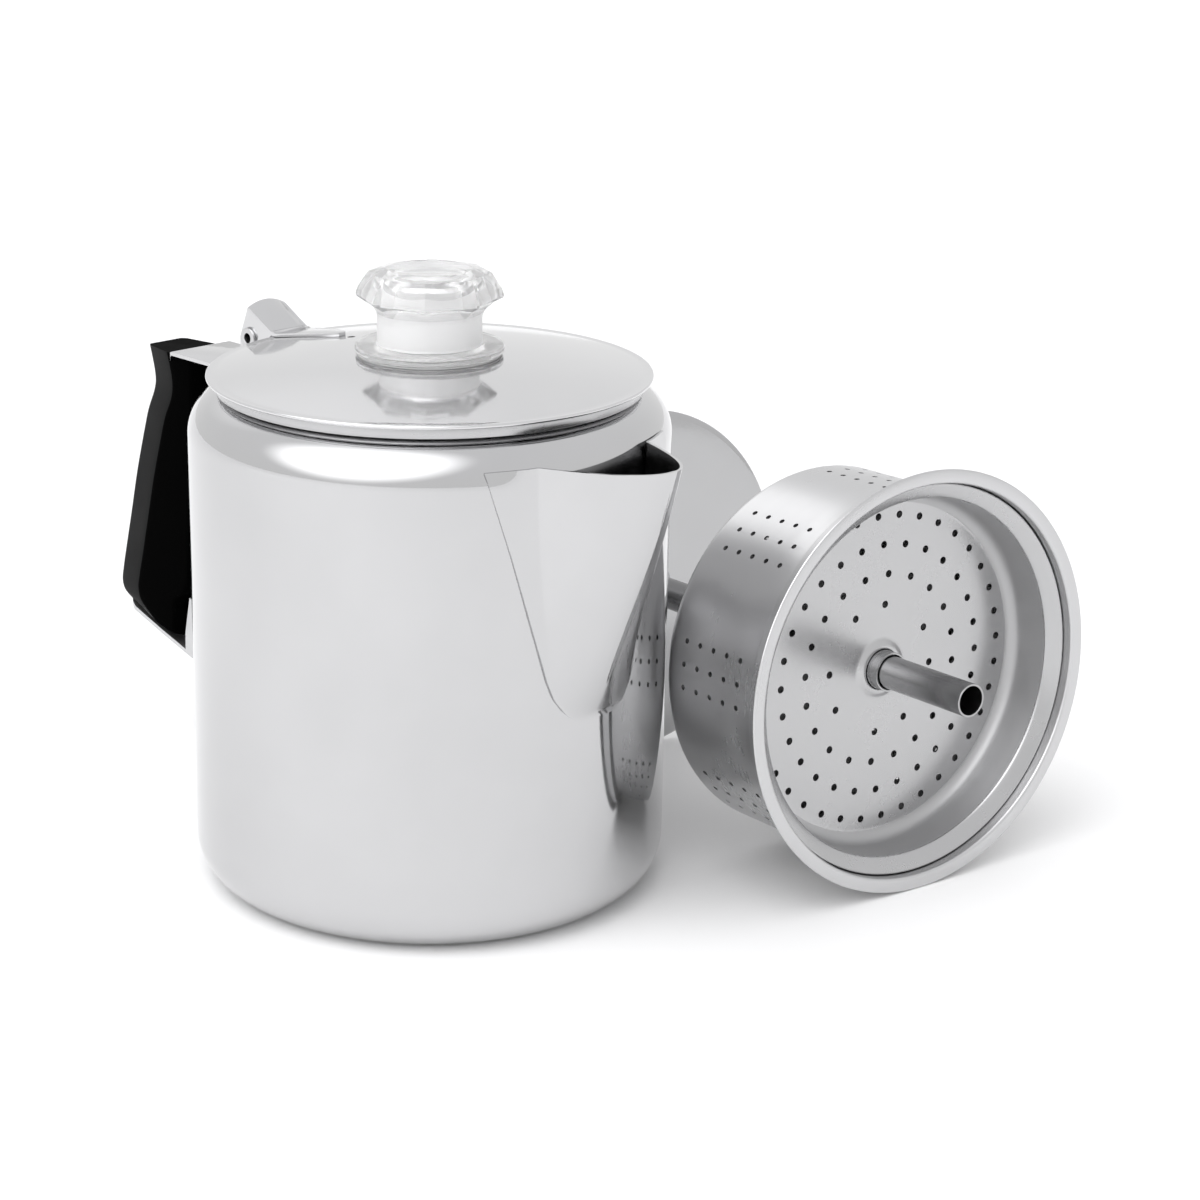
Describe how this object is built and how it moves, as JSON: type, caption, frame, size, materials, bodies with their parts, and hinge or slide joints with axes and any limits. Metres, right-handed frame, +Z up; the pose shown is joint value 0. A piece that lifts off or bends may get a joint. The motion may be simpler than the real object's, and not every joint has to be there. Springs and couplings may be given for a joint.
{
  "type": "camping coffee percolator",
  "caption": "Stainless camping percolator with spout, hinged lid, clear knob and side grip; pump tube, perforated basket and spreader lie beside the closed pot.",
  "frame": {"origin": "centre of the pot's flat base, on the surface it stands on", "axes": "+Z up along the pot axis, +X towards the spout, -X towards the handle and the lid hinge, +Y towards the side where the brew set lies"},
  "size_m": [0.2686, 0.2369, 0.1777],
  "materials": {
    "polished_steel": "mirror polished stainless steel",
    "brushed_steel": "satin stainless steel",
    "grip_plastic": "fine grained black phenolic",
    "knob_clear": "clear, glossy",
    "washer": "dull"
  },
  "bodies": {
    "pot": {"pot_body": "polished_steel", "spout": "polished_steel", "upper_bracket": "polished_steel", "hinge_lug": "polished_steel", "lower_bracket": "polished_steel", "handle_grip": "grip_plastic", "grip_screw": "brushed_steel"},
    "lid": {"lid_shell": "polished_steel", "lid_skirt": "brushed_steel", "lid_hinge_bracket": "polished_steel", "hinge_pin": "polished_steel"},
    "knob": {"knob": "knob_clear", "knob_washer": "washer"},
    "stem": {"pump_tube": "polished_steel", "base_disc": "polished_steel", "base_boss": "polished_steel"},
    "basket": {"basket_cup": "brushed_steel", "basket_sleeve": "brushed_steel"},
    "spreader": {"spreader_plate": "polished_steel"}
  },
  "joints": [
    {"name": "lid_hinge", "type": "hinge", "parent": "pot", "child": "lid", "pos_m": [-0.0732, 0, 0.1465], "axis": [0, -1, 0], "range_deg": [0, 105]},
    {"name": "knob_twist", "type": "hinge", "parent": "lid", "child": "knob", "pos_m": [0, 0, 0.15], "axis": [0, 0, 1], "range_deg": [0, 60]},
    {"name": "stem_slide", "type": "slide", "parent": "pot", "child": "stem", "axis": [0.1495, 0.9888, 0], "range_m": [0, 0.09]},
    {"name": "basket_slide", "type": "slide", "parent": "stem", "child": "basket", "axis": [0.9878, -0.1494, 0.0436], "range_m": [0, 0.08]},
    {"name": "spreader_lift", "type": "slide", "parent": "basket", "child": "spreader", "axis": [0.9878, -0.1494, 0.0436], "range_m": [0, 0.045]}
  ]
}
